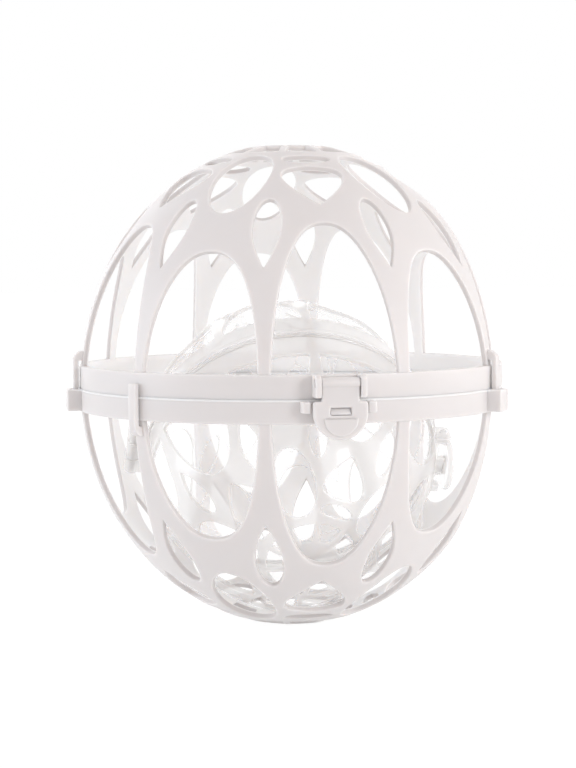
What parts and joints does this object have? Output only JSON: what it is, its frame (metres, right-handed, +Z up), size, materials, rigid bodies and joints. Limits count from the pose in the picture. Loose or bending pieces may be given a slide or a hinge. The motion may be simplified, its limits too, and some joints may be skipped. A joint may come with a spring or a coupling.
{
  "type": "delicates wash ball",
  "caption": "White openwork ball that opens at its equator on a hinge, shut by a flip latch, with a smaller clear openwork ball loose inside it, to hold delicates in the wash.",
  "frame": {"origin": "middle of the flat face under the lower pole, which the ball stands on", "axes": "+Z up through both poles, -Y to the latch, +Y to the hinge, +X to the right seen from the latch"},
  "size_m": [0.1614, 0.1684, 0.175],
  "materials": {
    "white_plastic": "smooth moulded white, soft gloss",
    "clear_plastic": "smooth moulded clear, glossy"
  },
  "bodies": {
    "outer_lower": {"outer_lower_shell": "white_plastic", "outer_hinge_pin": "white_plastic"},
    "outer_lid": {"outer_upper_shell": "white_plastic"},
    "outer_latch": {"outer_latch_tongue": "white_plastic"},
    "inner_lower": {"inner_lower_shell": "clear_plastic", "inner_hinge_pin": "clear_plastic"},
    "inner_lid": {"inner_upper_shell": "clear_plastic"},
    "inner_latch": {"inner_latch_tongue": "clear_plastic"}
  },
  "joints": [
    {"name": "outer_lid_hinge", "type": "hinge", "parent": "outer_lower", "child": "outer_lid", "pos_m": [0, 0.0816, 0.0875], "axis": [-1, 0, 0], "range_deg": [0, 180]},
    {"name": "outer_latch_swing", "type": "hinge", "parent": "outer_lid", "child": "outer_latch", "pos_m": [0, -0.0815, 0.0931], "axis": [-1, 0, 0], "range_deg": [0, 110]},
    {"name": "inner_ball_lift", "type": "slide", "parent": "outer_lower", "child": "inner_lower", "axis": [0, 0, 1], "range_m": [0, 0.025]},
    {"name": "inner_lid_hinge", "type": "hinge", "parent": "inner_lower", "child": "inner_lid", "pos_m": [-0.05838, 0.00351, 0.06473], "axis": [0.0349, -0.5312, 0.8466], "range_deg": [0, 10]},
    {"name": "inner_latch_swing", "type": "hinge", "parent": "inner_lid", "child": "inner_latch", "pos_m": [0.05858, 0.00523, 0.061], "axis": [0.0349, -0.5312, 0.8466], "range_deg": [0, 25]}
  ]
}
